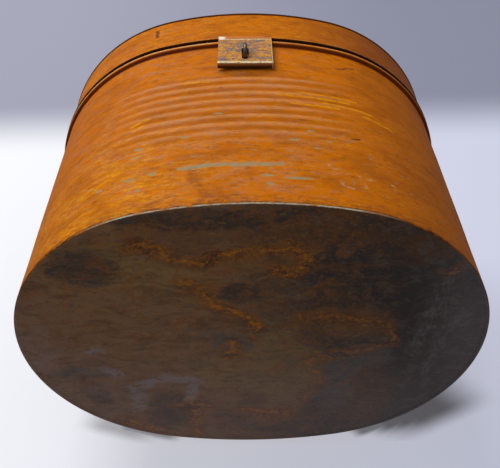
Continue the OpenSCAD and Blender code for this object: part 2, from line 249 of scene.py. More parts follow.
def patch(finish, point, spot, ragged=0.0):
    """A soft-edged oval spot; ragged eats into its edge."""
    return finish.step(finish.dot(spread(finish, point, spot), (1, 1, 0)) + ragged, 1.0, 0.3)


def line(finish, point, ends, width):
    """A thin mark between two points, its edge as soft as its width."""
    (x0, y0), (x1, y1) = ends
    length = math.hypot(x1 - x0, y1 - y0)
    run, rise = (x1 - x0) / length, (y1 - y0) / length
    off = finish.vector("SUBTRACT", point, (x0, y0, 0))
    along = finish.dot(off, (run, rise, 0))
    beside = abs(finish.dot(off, (rise, -run, 0)))
    inside = finish.band(along, (-width, 0), (length + width, length))
    return inside * finish.step(beside, width, width / 3)


def gather(marks):
    """Several masks as one, where the strongest shows."""
    whole = marks[0]
    for mark in marks[1:]:
        whole = whole.math("MAXIMUM", whole, mark)
    return whole


def lines(finish, point, marks, width):
    """Several thin marks of one width."""
    return gather([line(finish, point, ends, width) for ends in marks])


# Combed glaze: colours, and the marks of wear on the front and a painted shadow under the hasp, as places
# across and up
GLAZE_ORANGE = srgb(208, 114, 2)
GLAZE_TAN = srgb(184, 120, 84)
GLAZE_YELLOW = srgb(234, 154, 6)
GLAZE_BROWN = srgb(158, 82, 12)
GLAZE_UMBER = srgb(112, 66, 38)
GLAZE_RED = srgb(128, 64, 28)
RUBBED = srgb(150, 150, 118)
# Pale rubbed paint, and also painted sheen on the ring crests.
PALE_SCUFF_AND_SHEEN = srgb(208, 160, 116)
DARK_SCUFF = srgb(66, 44, 36)
# Worn paint, and also a painted highlight on the crests of the bead and the lid's roll.
WORN_EDGE_AND_HIGHLIGHT = srgb(242, 184, 116)
EDGE_TIN = srgb(206, 198, 174)
# Grime at edges and joints, and also painted shade in the gap above the bead and under the lid's roll.
EDGE_GRIME_AND_SHADE = srgb(48, 26, 14)
# Painted shade under the bead.
UNDER_BEAD_SHADE = srgb(94, 28, 4)
COLLAR_TIN = srgb(150, 142, 128)
# Painted shadow under the hasp, on the wall and on the lip next to the wall.
PAINTED_HASP_SHADOW = srgb(36, 19, 9)
GLAZE_SHINE = 0.03
GLAZE_DULL = 0.46
GLAZE_RELIEF = 0.08

FRONT = (0, -20)
RINGS_FROM, RINGS_TO = (60, 100), (178, 172)
WORN_FROM, WORN_TO = (6, 25), (150, 70)
LONG_RUB = [((-55, 45), (-45, 45)), ((-45, 45), (-24, 46)), ((-24, 46), (1, 44.5)), ((1, 44.5), (22, 46))]
RUB_SMEAR = [((-45, 42), (-43, 25)), ((-43, 25), (-33, 11))]
RUB_SPOTS = [
    (-90, 80, 5, 2.4), (-91, 69, 5, 1.8), (-76, 44, 5, 2.6), (-93, 42, 6, 2.2), (-85, 27, 3, 1.8),
    (-117, 41, 4, 1.8), (-27, 115, 5, 1.5), (10, 31, 6, 2), (34, 30, 14, 1.8), (12, 22, 4, 2),
    (46, 92, 4, 1.4), (33, 78, 5, 1.5), (51, 69, 4, 1.6), (61, 80, 4, 1.4), (-53, 85, 5, 1.2),
]
PALE_RUBS = [
    ((58, 49), (64, 42)), ((64, 42), (60, 38)), ((64, 32), (68, 26)), ((68, 26), (73, 24)),
    ((82, 34), (84, 27)), ((106, 40), (107, 33)), ((78, 40), (90, 38)),
]
INK_LINES = [((80, 202), (98, 210)), ((80, 89), (87, 90))]
GOLD_LINES = [
    ((22, 143), (86, 143)), ((40, 150), (92, 148)), ((34, 131), (74, 131)), ((62, 137), (104, 134)),
    ((96, 128), (122, 122)), ((-58, 168), (-36, 167)), ((-100, 116), (-86, 121)), ((-98, 108), (-90, 112)),
]
LID_SCUFFS = [((-91.6, 268), (-92.4, 282))]
HASP_SHADE = (-4, 181, 30, 11)


def glaze_coat(finish, point, gold, dull):
    """The combed paint alone: short streaks round the box; golden or dull where those masks are strong."""
    fine = finish.grain(point, (6.5, 6.5, 2.3), 6, 0.74, 0.3)
    mottle = finish.grain(point, (22, 22, 8), 6, 0.7, 0.5)
    streak = finish.grain(point, (28, 28, 2.8), 5, 0.72, 0.4)
    dab = finish.grain(point, (11, 11, 3.4), 6, 0.78)
    cloud = finish.grain(point, (38, 38, 17), 5, 0.66, 0.4)
    pale = finish.step(mottle * 0.5 + fine * 0.5 + dull * 0.05, 0.52, 0.62)
    colour = finish.blend(pale * (0.1 + dull * 0.65), GLAZE_ORANGE, GLAZE_TAN)
    bright = finish.step(streak * 0.4 + fine * 0.6 + gold * 0.07, 0.52, 0.64)
    colour = finish.blend(bright * 0.85, colour, GLAZE_YELLOW)
    colour = finish.blend(finish.step(dab * 0.6 + streak * 0.4, 0.48, 0.62) * 0.6, colour, GLAZE_BROWN)
    colour = finish.blend(finish.step(cloud * 0.7 + fine * 0.3, 0.47, 0.6) * 0.5, colour, GLAZE_BROWN)
    colour = finish.blend(finish.step(dab, 0.57, 0.7) * 0.65, colour, GLAZE_UMBER)
    relief = fine * 0.5 + dab * 0.5
    return colour, dab, relief


def glazed(finish, colour, worn, relief):
    """The shine that all glazes share."""
    finish.surface({
        "Base Color": colour,
        "Roughness": GLAZE_DULL + worn,
        "Specular IOR Level": GLAZE_SHINE,
        "Normal": finish.bump(relief, GLAZE_RELIEF),
    })


def wall_glaze():
    """The wall outside: rubbed and scratched in front, brown in the rings with painted sheen on their crests,
    a worn bead with a painted highlight on its crest and painted shade below and above it, a painted shadow
    under the hasp, and a bare foot.
    """
    material, finish, point = start("wall_glaze")
    across, deep, up = finish.parts(point)
    front = finish.step(deep, *FRONT)
    low_left = finish.step(across, 10, -110) * finish.step(up, 150, 40) * front
    dull = finish.step(across, 140, -20)
    colour, fleck, relief = glaze_coat(finish, point, low_left, dull)
    aside = finish.step(abs(across + 10), 70, 185)
    colour = finish.blend(aside * (0.1 + fleck * 0.5), colour, GLAZE_BROWN)
    rightward = finish.step(across, 30, 150) * (0.12 + finish.step(up, 130, 50) * 0.14)
    colour = finish.blend(rightward, colour, GLAZE_RED)
    rag_x, rag_z = finish.parts(finish.wander(point, (9, 9, 5), (8, 8, 4)), "XZ")
    torn = finish.flat(rag_x, rag_z)
    broken = finish.step(finish.grain(point, (6, 6, 1.8), 5, 0.72), 0.36, 0.58)
    ripple = (up - RING_TOP) * (2 * math.pi / RING_PITCH)
    wave = ripple.math("COSINE", ripple)
    # Darker brown in the ring hollows; the crests are paler as painted sheen, partly rubbed.
    rings = finish.band(up, RINGS_FROM, RINGS_TO) * finish.step(abs(across + 20), 125, 45)
    colour = finish.blend(finish.step(wave, 0.2, -0.9) * rings * 0.5, colour, GLAZE_BROWN)
    colour = finish.blend(finish.step(wave, 0.0, 1.0) * rings * (0.15 + broken * 0.3), colour, PALE_SCUFF_AND_SHEEN)
    gold = lines(finish, finish.flat(rag_x, up), GOLD_LINES, 2.1) * broken * front
    colour = finish.blend(gold * 0.8, colour, GLAZE_YELLOW)
    spots = gather([patch(finish, torn, spot) for spot in RUB_SPOTS])
    drawn = finish.flat(across, rag_z)
    rubs = lines(finish, drawn, LONG_RUB, 3)
    speck = finish.grain(point, (6, 6, 2.2), 4, 0.72)
    flecks = finish.step(speck, 0.6, 0.67) * finish.band(up, WORN_FROM, WORN_TO) * 0.7
    rubbed = gather([spots * (0.25 + broken * 0.75), rubs * (0.4 + broken * 0.6), flecks]) * front
    colour = finish.blend(rubbed * 0.9, colour, RUBBED)
    smear = lines(finish, torn, RUB_SMEAR, 5) * broken * front
    colour = finish.blend(smear * 0.45, colour, GLAZE_UMBER)
    pale = lines(finish, torn, PALE_RUBS, 3) * finish.step(speck, 0.48, 0.6)
    colour = finish.blend(pale * front * 0.6, colour, PALE_SCUFF_AND_SHEEN)
    ink = lines(finish, drawn, INK_LINES, 1.3) * front
    colour = finish.blend(ink * 0.85, colour, DARK_SCUFF)
    # Painted shade under the bead.
    under = finish.band(up, (BEAD_Z - 6.5, BEAD_Z - 4), (BEAD_Z - 0.6, BEAD_Z - 2.2))
    colour = finish.blend(under * 0.85, colour, UNDER_BEAD_SHADE)
    # The bead's crest: worn paint, made brighter still by a painted highlight.
    crest = finish.band(up, (BEAD_Z - 1.8, BEAD_Z - 0.4), (BEAD_Z + 2.6, BEAD_Z + 1.8))
    crest_wear_and_highlight = 0.15 + broken * (0.15 + finish.step(across, 50, -60) * 0.4)
    colour = finish.blend(crest * crest_wear_and_highlight, colour, WORN_EDGE_AND_HIGHLIGHT)
    # Painted shade in the gap between the bead and the lid.
    colour = finish.blend(finish.step(up, BEAD_Z + 2.2, BEAD_Z + 2.8) * 0.9, colour, EDGE_GRIME_AND_SHADE)
    # Painted shadow on the wall under the hasp's lip.
    colour = finish.blend(patch(finish, torn, HASP_SHADE) * front * 0.45, colour, PAINTED_HASP_SHADOW)
    colour = finish.blend(finish.step(rag_z, LID_Z + 1.5, LID_Z + 4), colour, COLLAR_TIN)
    fringe = finish.step(rag_z, 14, 3) * finish.step(speck, 0.46, 0.6)
    colour = finish.blend(fringe * 0.6, colour, GLAZE_UMBER)
    colour = finish.blend(finish.step(rag_z, 3.4, 1.4) * (0.2 + broken * 0.6), colour, EDGE_GRIME_AND_SHADE)
    bare = finish.step(up, 1.6, 0.8) * finish.step(abs(rag_x + 12), 128, 80) * finish.step(deep, -90, -120)
    colour = finish.blend(bare * broken * 0.9, colour, EDGE_TIN)
    colour = finish.blend(finish.step(abs(deep), 0.5, 0.15) * 0.7, colour, EDGE_GRIME_AND_SHADE)
    glazed(finish, colour, fleck * 0.16 + rubbed * 0.15, relief - rubbed * 0.6)
    return material


def lid_glaze():
    """The lid's skirt outside: one dark scuff, redder to the right, its rolled edge worn bright with a
    painted highlight and painted shade beneath it.
    """
    material, finish, point = start("lid_glaze")
    across, deep, up = finish.parts(point)
    front = finish.step(deep, *FRONT)
    colour, fleck, relief = glaze_coat(finish, point, 0.5, finish.step(across, 60, -120))
    torn = finish.flat(*finish.parts(finish.wander(point, (8, 8, 6), (4, 4, 3)), "XZ"))
    scuff = lines(finish, torn, LID_SCUFFS, 2.6) * front
    colour = finish.blend(scuff * 0.75, colour, DARK_SCUFF)
    colour = finish.blend(0.1 + finish.step(across, 0, 150) * 0.66, colour, GLAZE_RED)
    broken = finish.step(finish.grain(point, (8, 8, 8), 4, 0.7), 0.34, 0.56)
    # Painted shade under the lid's rolled edge.
    colour = finish.blend(finish.step(up, LID_Z + 1.3, LID_Z + 0.8) * 0.9, colour, EDGE_GRIME_AND_SHADE)
    # The rolled edge's crest: worn bright, and a painted highlight.
    bright = finish.band(up, (LID_Z + 0.9, LID_Z + 1.3), (LID_Z + 3.4, LID_Z + 2.4))
    colour = finish.blend(bright * broken * 0.8, colour, WORN_EDGE_AND_HIGHLIGHT)
    glazed(finish, colour, fleck * 0.16, relief)
    return material


def top_glaze():
    """The lid's top: the same glaze combed along its length, with a dark flange and rubbed places."""
    material, finish, point = start("top_glaze")
    [up] = finish.parts(point, "Z")
    streak = finish.grain(point, (44, 3.6, 40), 6, 0.68, 0.3)
    golden = finish.grain(point, (30, 14, 30), 6, 0.66, 0.5)
    fleck = finish.grain(point, (15, 4.4, 15), 6, 0.74)
    colour = finish.blend(finish.step(streak, 0.34, 0.66), GLAZE_BROWN, GLAZE_ORANGE)
    colour = finish.blend(finish.step(golden, 0.52, 0.74) * 0.6, colour, GLAZE_YELLOW)
    colour = finish.blend(finish.step(fleck, 0.54, 0.76) * 0.55, colour, GLAZE_UMBER)
    rub = finish.step(finish.grain(point, (24, 18, 24), 6, 0.74), 0.62, 0.7)
    colour = finish.blend(rub * 0.5, colour, RUBBED)
    colour = finish.blend(finish.step(up, BORDER_Z, BORDER_Z - TOP_BEND) * 0.9, colour, EDGE_GRIME_AND_SHADE)
    glazed(finish, colour, fleck * 0.16 + rub * 0.12, streak * 0.5 + fleck * 0.5)
    return material


# Bare metals
TIN_GREY = srgb(150, 147, 140)
TIN_PALE = srgb(172, 169, 160)
TIN_STAIN = srgb(126, 112, 92)
TIN_RUST = srgb(104, 62, 34)
STEEL_DARK = srgb(62, 52, 46)
STEEL_RUBBED = srgb(112, 102, 92)
STEEL_RUST = srgb(98, 58, 30)
BRASS_DULL = srgb(116, 86, 44)
BRASS_RUBBED = srgb(188, 150, 84)
BRASS_SPOT = srgb(78, 60, 38)


def dull_tin():
    """Tinplate inside the box: grey with a faint crystal pattern, stains and rust specks."""
    material, finish, point = start("dull_tin")
    stain = finish.grain(point, (60, 60, 60), 5, 0.6, 0.6)
    grain = finish.grain(point, (8, 8, 8), 3)
    speck = finish.grain(point, (3.5, 3.5, 3.5), 3, 0.7)
    colour = finish.blend(finish.step(grain, 0.35, 0.65), TIN_GREY, TIN_PALE)
    colour = finish.blend(finish.step(stain, 0.5, 0.72) * 0.6, colour, TIN_STAIN)
    rust = finish.step(speck, 0.68, 0.74) * finish.step(stain, 0.45, 0.6)
    colour = finish.blend(rust, colour, TIN_RUST)
    finish.surface({
        "Base Color": colour,
        "Metallic": 0.75 - rust * 0.6,
        "Roughness": 0.42 + stain * 0.2,
        "Normal": finish.bump(grain, 0.03),
    })
    return material


# Dark base: colours, and its stains as places across and from front to back
BASE_BLACK = srgb(60, 56, 54)
BASE_NIGHT = srgb(44, 42, 42)
BASE_BROWN = srgb(140, 104, 74)
BASE_SHADE = srgb(76, 54, 40)
BASE_RED = srgb(138, 84, 42)
BASE_UMBER = srgb(110, 70, 38)
BASE_OLIVE = srgb(144, 114, 70)
BASE_OCHRE = srgb(148, 96, 36)
BASE_RUST = srgb(192, 116, 22)
BASE_STAIN = srgb(150, 88, 28)
BASE_SCAB = srgb(92, 50, 24)
BASE_SLATE = srgb(92, 90, 88)
# Bloom on the japan, and also painted sheen of reflected light.
BASE_BLOOM_AND_SHEEN = srgb(150, 136, 136)
BASE_SPECK = srgb(214, 204, 184)

UMBER_PATCHES = [
    (45, -138, 90, 30), (120, -114, 40, 22), (106, 78, 30, 56), (10, 118, 60, 24), (-60, -128, 50, 20),
]
BLACK_PATCHES = [
    (-130, -96, 32, 22), (-45, -145, 80, 13), (82, -98, 50, 30), (-79, 106, 28, 40), (-141, 78, 16, 22),
    (26, -146, 30, 9), (100, -142, 40, 12), (-34, -104, 20, 9), (-12, -66, 26, 16), (46, 134, 40, 14),
]
OLIVE_PATCHES = [(-82, -88, 44, 24), (-112, -112, 22, 12), (25, 42, 46, 76), (-20, 40, 40, 50)]
OCHRE_PATCHES = [
    (-18, -100, 44, 15), (22, -104, 32, 16), (76, -28, 54, 26), (-40, -72, 18, 22), (14, 112, 34, 14),
]
SLATE_PATCHES = [(78, 62, 22, 64), (98, 20, 26, 22), (-154, 42, 20, 11), (-20, 0, 24, 18)]
RUST_VEINS = [
    ((-91, -119), (-76, -116)), ((-76, -116), (-53, -105)), ((-53, -105), (-37, -98)),
    ((-40, -103), (-10, -109)), ((-10, -109), (24, -117)), ((24, -117), (43, -104)),
    ((43, -104), (36, -91)), ((36, -91), (12, -91)), ((-55, -83), (-42, -65)), ((-42, -65), (-33, -49)),
    ((-33, -49), (-9, -36)), ((-9, -36), (10, -22)), ((39, -36), (112, -32)), ((112, -32), (118, 2)),
    ((118, 2), (81, 11)), ((81, 11), (49, 25)), ((51, 22), (59, 53)), ((59, 53), (52, 88)),
    ((-52, 84), (-54, 149)), ((-69, 96), (-38, 97)), ((-18, -5), (-17, 17)), ((-128, 119), (-87, 142)),
    ((-12, 104), (36, 112)), ((149, -88), (160, -91)),
]
BLOOM_ARCS = [
    ((-111, 104), (-103, 60)), ((-103, 60), (-80, 48)), ((-80, 48), (-58, 48)), ((-58, 48), (-54, 84)),
    ((-133, 36), (-124, 40)), ((-140, 14), (-128, 10)),
]
OCHRE_ARCS = [
    ((-142, -118), (-118, -124)), ((-118, -124), (-95, -118)), ((-95, -118), (-86, -98)),
    ((-86, -98), (-100, -78)), ((-100, -78), (-127, -70)), ((-127, -70), (-149, -70)),
    ((26, 118), (52, 96)), ((-4, -22), (20, 4)), ((20, 4), (48, 18)), ((-30, 70), (-8, 100)),
]
BASE_SCRATCHES = [
    ((156, -75), (148, -48)), ((148, -48), (146, -16)), ((172, -38), (160, 2)), ((160, 2), (157, 46)),
    ((150, -20), (140, 10)),
]


def dark_base():
    """The base: dark japan gone brown, with rust in clouds, tide lines and veins, bloom and scratches, and
    painted sheen of reflected light towards its rim.
    """
    material, finish, point = start("dark_base")
    broad = finish.wander(point, (50, 36, 50), (34, 28, 0))
    fine = finish.wander(broad, (9, 7, 9), (12, 9, 0))
    broad_x, broad_y = finish.parts(broad, "XY")
    broad_spot = finish.flat(broad_x, broad_y)
    fine_spot = finish.flat(*finish.parts(fine, "XY"))
    across, deep = finish.parts(point, "XY")
    smoke = finish.grain(broad, (30, 22, 30), 7, 0.68, 0.8)
    mottle = finish.grain(fine, (17, 11, 17), 6, 0.7, 0.6)
    swirl = finish.grain(broad, (46, 15, 30), 6, 0.62, 1.4)
    grit = finish.grain(point, (3.6, 2.6, 3), 5, 0.8)
    ragged = (smoke + mottle - 1.0) * 1.6
    colour = finish.blend(finish.step(broad_x + smoke * 60, 110, -30), BASE_BLACK, BASE_BROWN)
    for spots, over, share in (
        (UMBER_PATCHES, BASE_UMBER, 0.55), (OLIVE_PATCHES, BASE_OLIVE, 0.7), (SLATE_PATCHES, BASE_SLATE, 0.7),
        (OCHRE_PATCHES, BASE_OCHRE, 0.35), (BLACK_PATCHES, BASE_BLACK, 0.75),
    ):
        mask = gather([patch(finish, broad_spot, spot, ragged) for spot in spots])
        colour = finish.blend(mask * share, colour, over)
    leftward = finish.step(across, 150, 60)
    patina = finish.grain(fine, (8, 6, 8), 6, 0.76, 0.4)
    colour = finish.blend(finish.step(mottle, 0.5, 0.6) * (0.05 + leftward * 0.5), colour, BASE_RED)
    colour = finish.blend(finish.step(patina, 0.54, 0.66) * leftward * 0.5, colour, BASE_OLIVE)
    colour = finish.blend(finish.step(swirl, 0.58, 0.34) * 0.45, colour, BASE_SHADE)
    colour = finish.blend(finish.step(patina, 0.46, 0.32) * 0.3, colour, BASE_SHADE)
    colour = finish.blend(finish.step(smoke, 0.46, 0.34) * 0.4, colour, BASE_SLATE)
    blotches = (1.0 - leftward) * 0.45
    colour = finish.blend(finish.step(mottle, 0.5, 0.6) * blotches, colour, BASE_SLATE)
    colour = finish.blend(finish.step(patina, 0.5, 0.36) * blotches, colour, BASE_NIGHT)
    halo = lines(finish, broad_spot, RUST_VEINS, 11)
    rightward = finish.step(across, 30, 60)
    scab = halo * finish.step(mottle, 0.62, 0.44) * (0.55 - rightward * 0.25)
    colour = finish.blend(scab, colour, BASE_SCAB)
    stained = halo * finish.step(mottle * 0.4 + patina * 0.6, 0.45, 0.64)
    colour = finish.blend(stained * (0.6 - rightward * 0.3), colour, BASE_STAIN)
    tide = finish.step(abs(mottle - 0.5), 0.03, 0.006) * (leftward * 0.12 + halo * (0.5 - rightward * 0.25))
    colour = finish.blend(tide * finish.step(grit, 0.4, 0.55), colour, BASE_RUST)
    veins = lines(finish, fine_spot, RUST_VEINS, 2.8)
    broken = finish.step(grit, 0.42, 0.56) * finish.step(mottle, 0.4, 0.54)
    colour = finish.blend(veins * broken * (0.85 - rightward * 0.5), colour, BASE_RUST)
    arcs = lines(finish, fine_spot, OCHRE_ARCS, 3)
    edges = finish.step(abs(swirl - 0.5), 0.014, 0.003) * leftward * 0.5
    colour = finish.blend(gather([arcs, edges]) * finish.step(grit, 0.4, 0.56) * 0.55, colour, BASE_OCHRE)
    bloom = lines(finish, fine_spot, BLOOM_ARCS, 8)
    colour = finish.blend(bloom * finish.step(patina, 0.34, 0.56) * 0.75, colour, BASE_BLOOM_AND_SHEEN)
    # Painted sheen: reflected light on the lower left, the lower part and the right rim.
    sheen = finish.step(across * 0.75 - deep * 0.5, -85, -160) * finish.step(smoke, 0.3, 0.65)
    low = finish.step(deep + smoke * 110, 0, 180) * 0.3
    side = finish.step(across + smoke * 60, 150, 225) * 0.3
    colour = finish.blend(gather([sheen * 0.5, low, side]), colour, BASE_BLOOM_AND_SHEEN)
    chalk = finish.grain(point, (2.2, 9, 3), 5, 0.75)
    scratch = lines(finish, broad_spot, BASE_SCRATCHES, 9)
    colour = finish.blend(scratch * finish.step(chalk, 0.4, 0.7) * 0.3, colour, BASE_BLOOM_AND_SHEEN)
    colour = finish.blend(finish.step(grit, 0.54, 0.68) * (0.08 + leftward * 0.5), colour, BASE_OCHRE)
    colour = finish.blend(finish.step(grit, 0.46, 0.32) * 0.6, colour, BASE_BLACK)
    speck = finish.grain(point, (2.4, 2.4, 2.4), 3, 0.6)
    rusty = finish.step(speck, 0.64, 0.7) * gather([halo, leftward * 0.3])
    colour = finish.blend(rusty * 0.6, colour, BASE_RUST)
    colour = finish.blend(finish.step(speck, 0.76, 0.8) * 0.7, colour, BASE_SPECK)
    finish.surface({
        "Base Color": colour,
        "Roughness": 0.5 + grit * 0.2,
        "Specular IOR Level": 0.08,
        "Normal": finish.bump(grit * 0.5 + mottle * 0.5, 0.14),
    })
    return material


# The hasp: colours, the painted highlight line at the crease below its curl, and the white chip at its top
# left
HASP_BROWN = srgb(190, 122, 40)
HASP_GREY = srgb(128, 104, 98)
HASP_GOLD = srgb(226, 162, 52)
HASP_DARK = srgb(70, 54, 46)
# Bare steel, and painted highlights.
HASP_BARE_AND_HIGHLIGHT = srgb(236, 218, 172)
LIP_BROWN = srgb(170, 104, 44)
HASP_WHITE = srgb(248, 238, 214)
CREASE_Z = 231.6
HASP_CHIP = (-24, 236, 4.2, 3.2)


def worn_hasp():
    """The hasp: brown paint worn to dull steel, bare and with painted highlights along its bend, a painted
    highlight along its crease and right edge, painted shade on its lip next to the wall, white where chipped.
    """
    material, finish, point = start("worn_hasp")
    across, deep, up = finish.parts(point)
    blotch = finish.grain(point, (9, 9, 5), 6, 0.72, 0.6)
    grit = finish.grain(point, (3, 3, 1.5), 5, 0.76)
    colour = finish.blend(finish.step(blotch, 0.44, 0.56), HASP_GREY, HASP_BROWN)
    colour = finish.blend(finish.step(grit * 0.6 + blotch * 0.4, 0.49, 0.59) * 0.85, colour, HASP_GOLD)
    colour = finish.blend(finish.step(grit, 0.46, 0.3) * 0.75, colour, HASP_DARK)
    colour = finish.blend(finish.step(up + blotch * 6, 233.5, 237) * 0.8, colour, GLAZE_ORANGE)
    # A painted highlight line across the plate at the crease.
    crease = finish.step(abs(up - CREASE_Z + grit * 1.4), 1.1, 0.4) * finish.step(grit, 0.36, 0.5)
    colour = finish.blend(crease * 0.7, colour, HASP_BARE_AND_HIGHLIGHT)
    lip = finish.step(up, HASP_FOOT + 0.9, HASP_FOOT + 0.2)
    colour = finish.blend(lip * 0.85, colour, LIP_BROWN)
    # Painted shade on the lip's underside next to the wall.
    shaded_near_wall = finish.step(deep, -HALF_D - 4.4, -HALF_D - 2.6)
    colour = finish.blend(lip * shaded_near_wall * 0.9, colour, PAINTED_HASP_SHADOW)
    # The bend's ridge: bared steel, painted brighter as a highlight.
    ridge = finish.band(up, (HASP_FOOT + 0.2, HASP_FOOT + 0.9), (HASP_FOOT + 4.2, HASP_FOOT + 2.6))
    bared = ridge * finish.step(grit, 0.36, 0.52)
    colour = finish.blend(bared * 0.9, colour, HASP_BARE_AND_HIGHLIGHT)
    right_edge = HASP_X + HASP_W / 2
    # A painted highlight down the right edge.
    side = finish.step(across, right_edge - 1.2, right_edge - 0.4) * finish.step(up, 231, 229)
    colour = finish.blend(side * 0.5, colour, HASP_BARE_AND_HIGHLIGHT)
    chip = patch(finish, finish.flat(across + blotch * 4, up + grit * 5), HASP_CHIP)
    colour = finish.blend(chip, colour, HASP_WHITE)
    finish.surface({
        "Base Color": colour,
        "Metallic": bared * 0.3,
        "Roughness": 0.44 + blotch * 0.2,
        "Specular IOR Level": 0.3,
        "Normal": finish.bump(grit * 0.6 + blotch * 0.4, 0.1),
    })
    return material


def strap_paint():
    """The strap that the hasp hangs on: the lid's colour, its left knuckle chipped down to pale primer."""
    material, finish, point = start("strap_paint")
    [across] = finish.parts(point, "X")
    grit = finish.grain(point, (3, 3, 2), 4, 0.72)
    colour = finish.blend(finish.step(grit, 0.36, 0.62), GLAZE_BROWN, GLAZE_ORANGE)
    chip = finish.step(across, -21, -23) * finish.step(grit, 0.34, 0.46)
    colour = finish.blend(chip * 0.5, colour, HASP_WHITE)
    dark = finish.step(across, 14, 16) * finish.step(grit, 0.4, 0.6)
    colour = finish.blend(dark * 0.7, colour, DARK_SCUFF)
    finish.surface({"Base Color": colour, "Roughness": 0.45, "Specular IOR Level": 0.3})
    return material


def dark_steel():
    """Wire and hinge steel, gone dark brown, rubbed brighter in places."""
    material, finish, point = start("dark_steel")
    blotch = finish.grain(point, (7, 7, 7), 5, 0.65)
    grit = finish.grain(point, (1.6, 1.6, 1.6), 3, 0.7)
    colour = finish.blend(finish.step(blotch, 0.38, 0.62), STEEL_DARK, STEEL_RUBBED)
    rust = finish.step(grit, 0.58, 0.7)
    colour = finish.blend(rust * 0.6, colour, STEEL_RUST)
    finish.surface({
        "Base Color": colour,
        "Metallic": 0.8 - rust * 0.5,
        "Roughness": 0.36 + grit * 0.2,
        "Normal": finish.bump(grit, 0.05),
    })
    return material


def aged_brass():
    """Brass of the handle, its saddles and rivets: dull brown in the hollows, brighter where hands rub."""
    material, finish, point = start("aged_brass")
    blotch = finish.grain(point, (11, 11, 11), 5, 0.62)
    grit = finish.grain(point, (1.8, 1.8, 1.8), 3, 0.7)
    colour = finish.blend(finish.step(blotch, 0.36, 0.64), BRASS_DULL, BRASS_RUBBED)
    spots = finish.step(grit, 0.62, 0.72)
    colour = finish.blend(spots * 0.6, colour, BRASS_SPOT)
    finish.surface({
        "Base Color": colour,
        "Metallic": 0.95 - spots * 0.3,
        "Roughness": 0.3 + blotch * 0.2,
        "Normal": finish.bump(grit, 0.04),
    })
    return material


# How finely the sheets are drawn, and how far old age has pushed them in and out
CURVE_STEPS = 12
HASP_COLUMNS = 24
MERGE = 0.0005
SHARP = 38
HASP_SHARP = 50
HASP_WORN = 0.22
CUT_SHARP = 40
WALL_WAVE, WALL_WAVE_L = 0.28, 62
SKIRT_WAVE, SKIRT_WAVE_L = 0.16, 48
BASE_BUCKLE, BASE_BUCKLE_L = 0.45, 58
HASP_BOW, HASP_BOW_L = 0.12, 16


def ramp(value, low, high):
    """0 at low, 1 at high, an even rise between them."""
    return min(max((value - low) / (high - low), 0), 1)


def ring_rise(off):
    """How far a ring stands out at a height above or below its middle."""
    return RING_H * (1 + math.cos(2 * math.pi * off / RING_W)) / 2


def arc(mid_out, mid_z, radius, begin, end, steps):
    """Points round part of a circle, in a sheet's steps out and heights."""
    turns = [math.radians(begin + (end - begin) * i / steps) for i in range(steps + 1)]
    return [(mid_out + radius * math.cos(turn), mid_z + radius * math.sin(turn)) for turn in turns]


def straight(begin, end, step):
    """Points from one place to another, the last left out."""
    count = max(1, round(math.dist(begin, end) / step))
    return [tuple(a + (b - a) * i / count for a, b in zip(begin, end)) for i in range(count)]


def other_side(path, thick):
    """The far side of a sheet whose near side is path; it lies to the left of the way that path runs."""
    far = []
    for i, (out, z) in enumerate(path):
        before, after = path[max(i - 1, 0)], path[min(i + 1, len(path) - 1)]
        run = Vector((after[0] - before[0], after[1] - before[1])).normalized()
        far.append((out - run.y * thick, z + run.x * thick))
    return far


def stations(step):
    """Places round the oval, each with its way out: from the right end by the front to the left and back."""
    arcs = [
        (END_X, 0, END_R, MEET, -MEET), (0, SIDE_Y, SIDE_R, -MEET, MEET - 180),
        (-END_X, 0, END_R, MEET - 180, -MEET - 180), (0, -SIDE_Y, SIDE_R, 180 - MEET, MEET),
    ]
    made = []
    for mid_x, mid_y, radius, begin, end in arcs:
        count = 2 * max(1, round(abs(math.radians(end - begin)) * radius / step / 2))
        for i in range(count):
            turn = math.radians(begin + (end - begin) * i / count)
            nx, ny = math.cos(turn), math.sin(turn)
            made.append((mid_x + radius * nx, mid_y + radius * ny, nx, ny))
    return made


def stretch_of(places, keep):
    """The run of places that keep holds for, taken round the loop, in order."""
    first = next(i for i in range(len(places)) if keep(places[i]) and not keep(places[i - 1]))
    turned = places[first:] + places[:first]
    run = []
    for place in turned:
        if not keep(place):
            break
        run.append(place)
    return run


def make_piece(name, points, faces, slots, finishes, sharp=SHARP):
    """A smooth piece from points in millimetres, its edges sharp past that angle."""
    mesh = bpy.data.meshes.new(name)
    mesh.from_pydata([(x * MM, y * MM, z * MM) for x, y, z in points], [], faces)
    for finish in finishes:
        mesh.materials.append(finish)
    mesh.polygons.foreach_set("material_index", slots)
    work = bmesh.new()
    work.from_mesh(mesh)
    bmesh.ops.remove_doubles(work, verts=work.verts, dist=MERGE * MM)
    bmesh.ops.recalc_face_normals(work, faces=work.faces)
    work.to_mesh(mesh)
    work.free()
    mesh.polygons.foreach_set("use_smooth", [True] * len(mesh.polygons))
    mesh.set_sharp_from_angle(angle=math.radians(sharp))
    piece = bpy.data.objects.new(name, mesh)
    bpy.context.scene.collection.objects.link(piece)
    return piece


